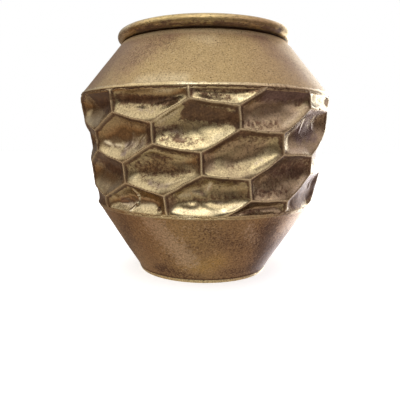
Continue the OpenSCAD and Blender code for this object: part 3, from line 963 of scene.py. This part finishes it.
def strap_piece():
    """The strap over the band's joint at the back, brazed along both edges."""
    margin = 1.5 * MM
    rows = 90
    downs = np.linspace(margin, slant - margin, rows)
    # The section from edge to edge, as shares of its half width and of its thickness
    offsets = np.array([-1.0, -0.985, -0.9, -0.6, 0.0, 0.6, 0.9, 0.985, 1.0])
    heights = np.array([0.0, 0.5, 0.8, 0.9, 0.9, 0.9, 0.8, 0.5, 0.0]) * 0.85 * MM
    edge = np.stack([np.zeros(rows), downs, np.zeros(rows)], -1)
    left = 1 + 0.06 * cloud(edge, 6 * MM, 2, 3.0)
    right = 1 + 0.06 * cloud(edge, 6 * MM, 2, 13.0)
    widths = np.where(offsets[None] < 0, left[:, None], right[:, None]) * offsets[None] * STRAP_W / 2
    down = np.tile(downs[:, None], (1, len(offsets)))
    bumps = cloud(np.stack([widths, down, 0 * down], -1), 8 * MM, 2, 5.0)
    out = heights[None] * (1 + 0.12 * bumps)
    top = band_points(math.pi + widths / belly_r, down, out)
    under = band_points(math.pi + widths / belly_r, down, np.full_like(out, -BURIED))[:, ::-1]
    points = np.concatenate([top, under], 1)
    loop = 2 * len(offsets)
    faces = grid_faces(rows, loop, False, True).tolist()
    faces += [list(range(loop - 1, -1, -1)), [(rows - 1) * loop + k for k in range(loop)]]
    made = make_object("joint_strap", points, faces, seam_brass, 60)
    dark = np.concatenate([[0.9, 0.5, 0.1, -0.2, -0.3, -0.2, 0.1, 0.5, 0.9], np.full(len(offsets), 0.9)])
    worn = np.concatenate([[0, 0.4, 0.7, 0.4, 0.3, 0.4, 0.7, 0.4, 0], np.zeros(len(offsets))])
    add_attribute(made, "shade", np.tile(dark, rows))
    add_attribute(made, "wear", np.tile(worn, rows))
    return finish_piece(made, "band_strap")


def foot_piece():
    """The rough ring round the foot."""
    proud = 0.35 * MM
    steps = 900
    top_r, bottom_r = foot_r + proud, foot_r - foot_h * math.tan(FOOT_TAPER)
    outer = [(plate_r, 0)] + line((bottom_r - 0.8 * MM, 0), (bottom_r, 0.8 * MM), 2) \
        + line((bottom_r, 0.8 * MM), (top_r, foot_h - 0.4 * MM), 6)[1:] \
        + [(top_r - 0.3 * MM, foot_h), (plate_r, foot_h)]

    def uneven(points):
        out = smooth((np.hypot(points[..., 0], points[..., 1]) - plate_r - 1 * MM) / (0.8 * MM))
        lumpy = cloud(points, 16 * MM, 2, 2.0) * 0.2 + cloud(points, 2.5 * MM, 2, 9.0) * 0.2
        return out * (lumpy - 0.15) * MM
    made = turned_piece("foot_band", outer, steps, foot_brass, uneven, 70)
    count = len(outer)
    add_attribute(made, "shade", np.tile(np.concatenate([[0.8], np.full(count - 2, -0.1), [0.8]]), steps))
    add_attribute(made, "wear", np.tile(np.concatenate([[0], np.full(count - 2, 0.35), [0]]), steps))
    return finish_piece(made, "foot_ring")


def carry_over(node_name, material):
    """A CAD node that stays, with a better material."""
    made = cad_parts[node_name]
    made.data.materials.clear()
    made.data.materials.append(material)


band_piece()
shoulder_piece()
lower_piece()
rim_piece()
neck_piece()
seam_pieces()
strap_piece()
foot_piece()
carry_over("rim_wire", steel)
carry_over("neck_solder", inner_brass)
carry_over("base_plate", inner_brass)
carry_over("base_solder", inner_brass)


# ---------------------------------------------------------------- floor, light and camera

def floor_piece():
    mesh = bpy.data.meshes.new("floor")
    half = 4.0
    corners = [(-half, -half, 0), (half, -half, 0), (half, half, 0), (-half, half, 0)]
    mesh.from_pydata(corners, [], [(0, 1, 2, 3)])
    material = bpy.data.materials.new("pale_floor")
    material.use_nodes = True
    body = material.node_tree.nodes["Principled BSDF"]
    body.inputs["Base Color"].default_value = (0.85, 0.85, 0.85, 1)
    body.inputs["Roughness"].default_value = 0.9
    body.inputs["Specular IOR Level"].default_value = 0.0
    body.inputs["Emission Color"].default_value = (1, 1, 1, 1)
    body.inputs["Emission Strength"].default_value = 0.60
    mesh.materials.append(material)
    floor = bpy.data.objects.new("floor", mesh)
    bpy.context.scene.collection.objects.link(floor)
    floor.visible_glossy = False


# Soft glows in the studio: the way to each, and its colour at each closeness to that way (1 straight at it)
NO_GLOW = (0.0, 0.0, 0.0)
GLOWS = {
    "window": ((0.50, 0.86, 0.02), [(0.815, NO_GLOW), (0.875, (1.5, 1.5, 1.6)), (0.97, (3.2, 3.4, 3.7))]),
    "lamp": ((-0.05, -0.62, 0.78), [(0.885, NO_GLOW), (0.972, (0.80, 0.78, 0.72)), (1.0, (2.0, 1.97, 1.86))]),
    "side": ((-0.72, -0.25, 0.64), [(0.60, NO_GLOW), (0.95, (0.10, 0.095, 0.09))]),
    "left lamp": ((-0.78, 0.05, 0.62), [(0.88, NO_GLOW), (0.97, (0.34, 0.33, 0.30))]),
    "top lamp": ((-0.50, -0.30, 0.81), [(0.92, NO_GLOW), (0.99, (0.05, 0.048, 0.044))]),
    "low window": ((0.52, 0.73, -0.44), [(0.965, NO_GLOW), (0.995, (1.6, 1.6, 1.75))]),
}


def studio_room(tree, parts):
    """A plain room: dark level with the pot, pale above, warm low on the left and mauve on the right."""
    level = maths(tree, "ADD", maths(tree, "MULTIPLY", parts["Z"], 0.5), 0.5)
    sideways = maths(tree, "ADD", maths(tree, "MULTIPLY", parts["X"], 0.5), 0.5)
    room = ramp(tree, level, [
        (0.0, (0.56, 0.50, 0.41)), (0.25, (0.44, 0.39, 0.32)), (0.44, (0.18, 0.148, 0.125)),
        (0.56, (0.175, 0.150, 0.128)), (0.70, (0.45, 0.44, 0.42)), (0.85, (0.90, 0.89, 0.86)),
        (1.0, (1.10, 1.09, 1.06))])
    warm = ramp(tree, sideways, [
        (0.05, (0.82, 0.56, 0.43)), (0.30, (1.0, 0.945, 0.92)), (0.48, (1.0, 1.0, 1.0))])
    mauve = ramp(tree, sideways, [
        (0.48, (1.0, 1.0, 1.0)), (0.62, (1.0, 0.97, 0.97)), (0.90, (0.98, 0.82, 0.93))])
    low_down = grey_ramp(tree, level, [(0.50, 1.0), (0.75, 0.25)])
    room = mix(tree, low_down, room, warm, "MULTIPLY")
    return mix(tree, 1.0, room, mauve, "MULTIPLY")


def studio():
    """Light from all round: the room and its glows, with plain white where the camera sees past the floor."""
    world = bpy.data.worlds.new("studio")
    bpy.context.scene.world = world
    world.use_nodes = True
    tree = world.node_tree
    tree.nodes.clear()
    out = tree.nodes.new("ShaderNodeOutputWorld")
    way = shader(tree, "TexCoord").outputs["Generated"]
    light = studio_room(tree, shader(tree, "SeparateXYZ", {0: way}).outputs)
    for direction, stops in GLOWS.values():
        axis = Vector(direction).normalized()
        closeness = shader(tree, "VectorMath", {0: way, 1: axis}, operation="DOT_PRODUCT").outputs["Value"]
        light = mix(tree, 1.0, light, ramp(tree, closeness, stops), "ADD")
    seen = shader(tree, "LightPath").outputs["Is Camera Ray"]
    light = mix(tree, seen, light, (1.0, 1.0, 1.0))
    back = shader(tree, "Background", {"Color": light, "Strength": 1.0})
    tree.links.new(back.outputs[0], out.inputs[0])


# Where the camera stands, in metres, and how it is turned, in radians
CAMERA_AT = (0, -0.5773, 0.1651)
YAW = -0.0289
PITCH = -0.1379
ROLL = 0.0079


def camera():
    """The camera stands in front of the pot, a little above its middle, and looks a little down."""
    right = Vector((math.cos(YAW), -math.sin(YAW), 0))
    level = Vector((math.sin(YAW), math.cos(YAW), 0))
    forward = math.cos(PITCH) * level + Vector((0, 0, math.sin(PITCH)))
    up = right.cross(forward)
    tilted_right = math.cos(ROLL) * right + math.sin(ROLL) * up
    tilted_up = math.cos(ROLL) * up - math.sin(ROLL) * right
    data = bpy.data.cameras.new("camera")
    data.sensor_width = 36
    data.lens = 40.52
    data.shift_x = 0.025
    made = bpy.data.objects.new("camera", data)
    turn = Matrix((tilted_right, tilted_up, -forward)).transposed().to_4x4()
    made.matrix_world = Matrix.Translation(CAMERA_AT) @ turn
    bpy.context.scene.collection.objects.link(made)
    bpy.context.scene.camera = made


floor_piece()
studio()
camera()
bpy.context.scene.view_settings.view_transform = "Standard"
